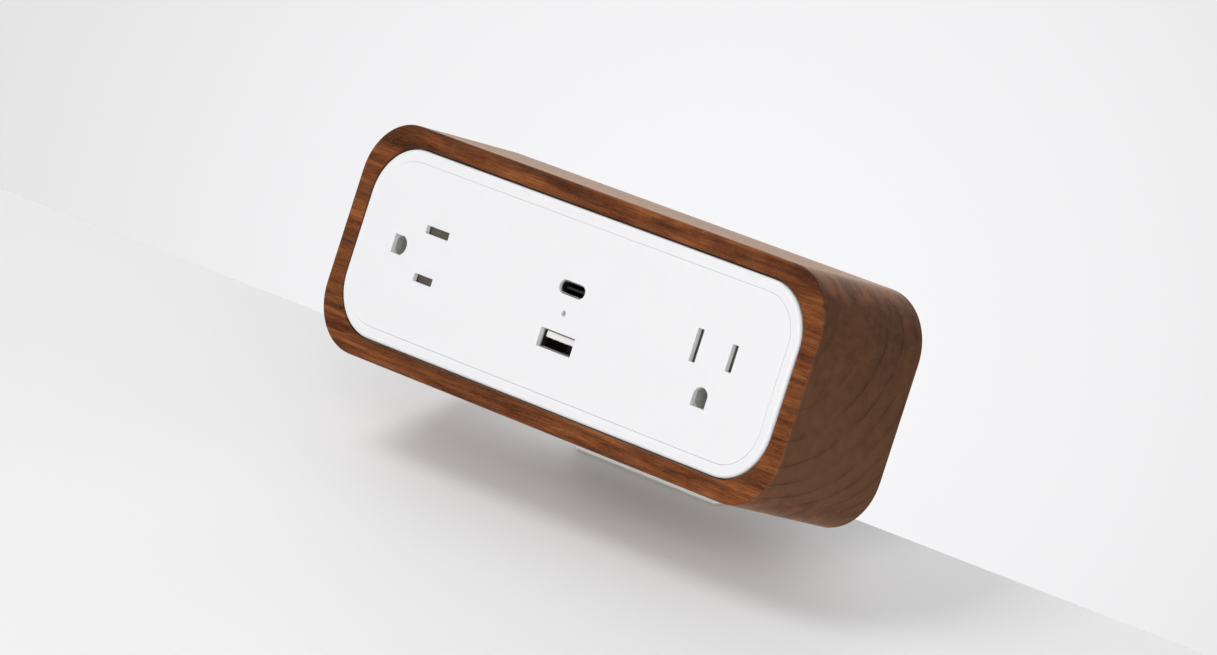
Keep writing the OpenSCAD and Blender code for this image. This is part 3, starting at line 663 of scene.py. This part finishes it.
def make_desk():
    """A pale desk top with its back edge almost against the clamp, clear of the pad at its highest."""
    edge_y, slope, thick, reach = 9.7, 0.0129, 20.0, 1500.0
    corners = [(-reach, -2000), (reach, -2000),
               (reach, edge_y + slope * reach), (-reach, edge_y - slope * reach)]
    mesh = bpy.data.meshes.new("desk_top")
    verts = [Vector((x, y, z)) * MM for z in (0, -thick) for x, y in corners]
    sides = [(i, i + 4, (i + 1) % 4 + 4, (i + 1) % 4) for i in range(4)]
    mesh.from_pydata(verts, [], [(0, 1, 2, 3), (7, 6, 5, 4), *sides])
    p = Paint("desk_laminate", 0.55, specular=0.3)
    cloud = p.noise(3.0, detail=2.0)
    p.set("Base Color", p.ramp(cloud, (0.3, (0.8, 0.8, 0.805)), (0.7, (0.83, 0.83, 0.835))))
    p.bump(p.noise(1500.0), 0.00001)
    mesh.materials.append(p.mat)
    desk = bpy.data.objects.new("desk_top", mesh)
    bpy.context.scene.collection.objects.link(desk)
    edge = desk.modifiers.new("edge", "BEVEL")
    edge.width = 0.6 * MM
    edge.segments = 3


def area_light(name, toward, distance, size, power, color=(1, 1, 1), target=(0, -0.03, 0.04)):
    data = bpy.data.lights.new(name, "AREA")
    data.shape = "RECTANGLE"
    data.size, data.size_y = size
    data.energy = power
    data.color = color
    lamp = bpy.data.objects.new(name, data)
    direction = Vector(toward).normalized()
    lamp.location = Vector(target) + direction * distance
    lamp.rotation_mode = "QUATERNION"
    lamp.rotation_quaternion = direction.to_track_quat("Z", "Y")
    bpy.context.scene.collection.objects.link(lamp)


def make_world():
    """A near-white backdrop that falls off from one bright spot, and lights the piece from behind."""
    world = bpy.data.worlds.new("studio")
    world.use_nodes = True
    bpy.context.scene.world = world
    tree = world.node_tree
    tree.nodes.clear()

    def add(kind, **props):
        made = tree.nodes.new(kind)
        for key, value in props.items():
            setattr(made, key, value)
        return made

    direction = add("ShaderNodeTexCoord").outputs["Generated"]
    dot = add("ShaderNodeVectorMath", operation="DOT_PRODUCT")
    tree.links.new(direction, dot.inputs[0])
    dot.inputs[1].default_value = (-toward_camera + Vector((0.01, 0.012, 0.0))).normalized()
    ramp = add("ShaderNodeValToRGB")
    ramp.color_ramp.interpolation = "EASE"
    tree.links.new(dot.outputs["Value"], ramp.inputs[0])
    stops = [(0.985, (0.70, 0.70, 0.70, 1)), (0.994, (0.745, 0.745, 0.75, 1)),
             (0.999, (0.93, 0.93, 0.945, 1))]
    ramp.color_ramp.elements.new(0.5)
    for element, (place, color) in zip(ramp.color_ramp.elements, stops):
        element.position, element.color = place, color
    shown = add("ShaderNodeBackground")
    tree.links.new(ramp.outputs[0], shown.inputs[0])
    fill = add("ShaderNodeBackground")
    glow = add("ShaderNodeValToRGB")
    tree.links.new(dot.outputs["Value"], glow.inputs[0])
    for element, (place, level) in zip(glow.color_ramp.elements, [(0.2, 0.2), (0.85, 1.0)]):
        element.position, element.color = place, (level, level, level, 1)
    tree.links.new(glow.outputs[0], fill.inputs[0])
    fill.inputs[1].default_value = 1.58
    path = add("ShaderNodeLightPath")
    both = add("ShaderNodeMixShader")
    tree.links.new(path.outputs["Is Camera Ray"], both.inputs[0])
    tree.links.new(fill.outputs[0], both.inputs[1])
    tree.links.new(shown.outputs[0], both.inputs[2])
    tree.links.new(both.outputs[0], add("ShaderNodeOutputWorld").inputs[0])


make_desk()
make_world()
area_light("key", (-0.5, -0.15, 0.85), 1.5, (0.6, 0.6), 7.2)
area_light("front_fill", (0.1, -1.0, 0.5), 1.6, (1.0, 0.8), 3.8)
area_light("high_fill", (0.5, -0.9, 0.8), 1.6, (1.2, 1.0), 7.6)
area_light("right_fill", (0.9, -0.5, 0.5), 1.6, (1.0, 0.8), 5.2)
area_light("low_fill", (0.25, -1.0, 0.12), 1.6, (1.0, 0.6), 5)
bpy.context.scene.view_settings.view_transform = "Standard"
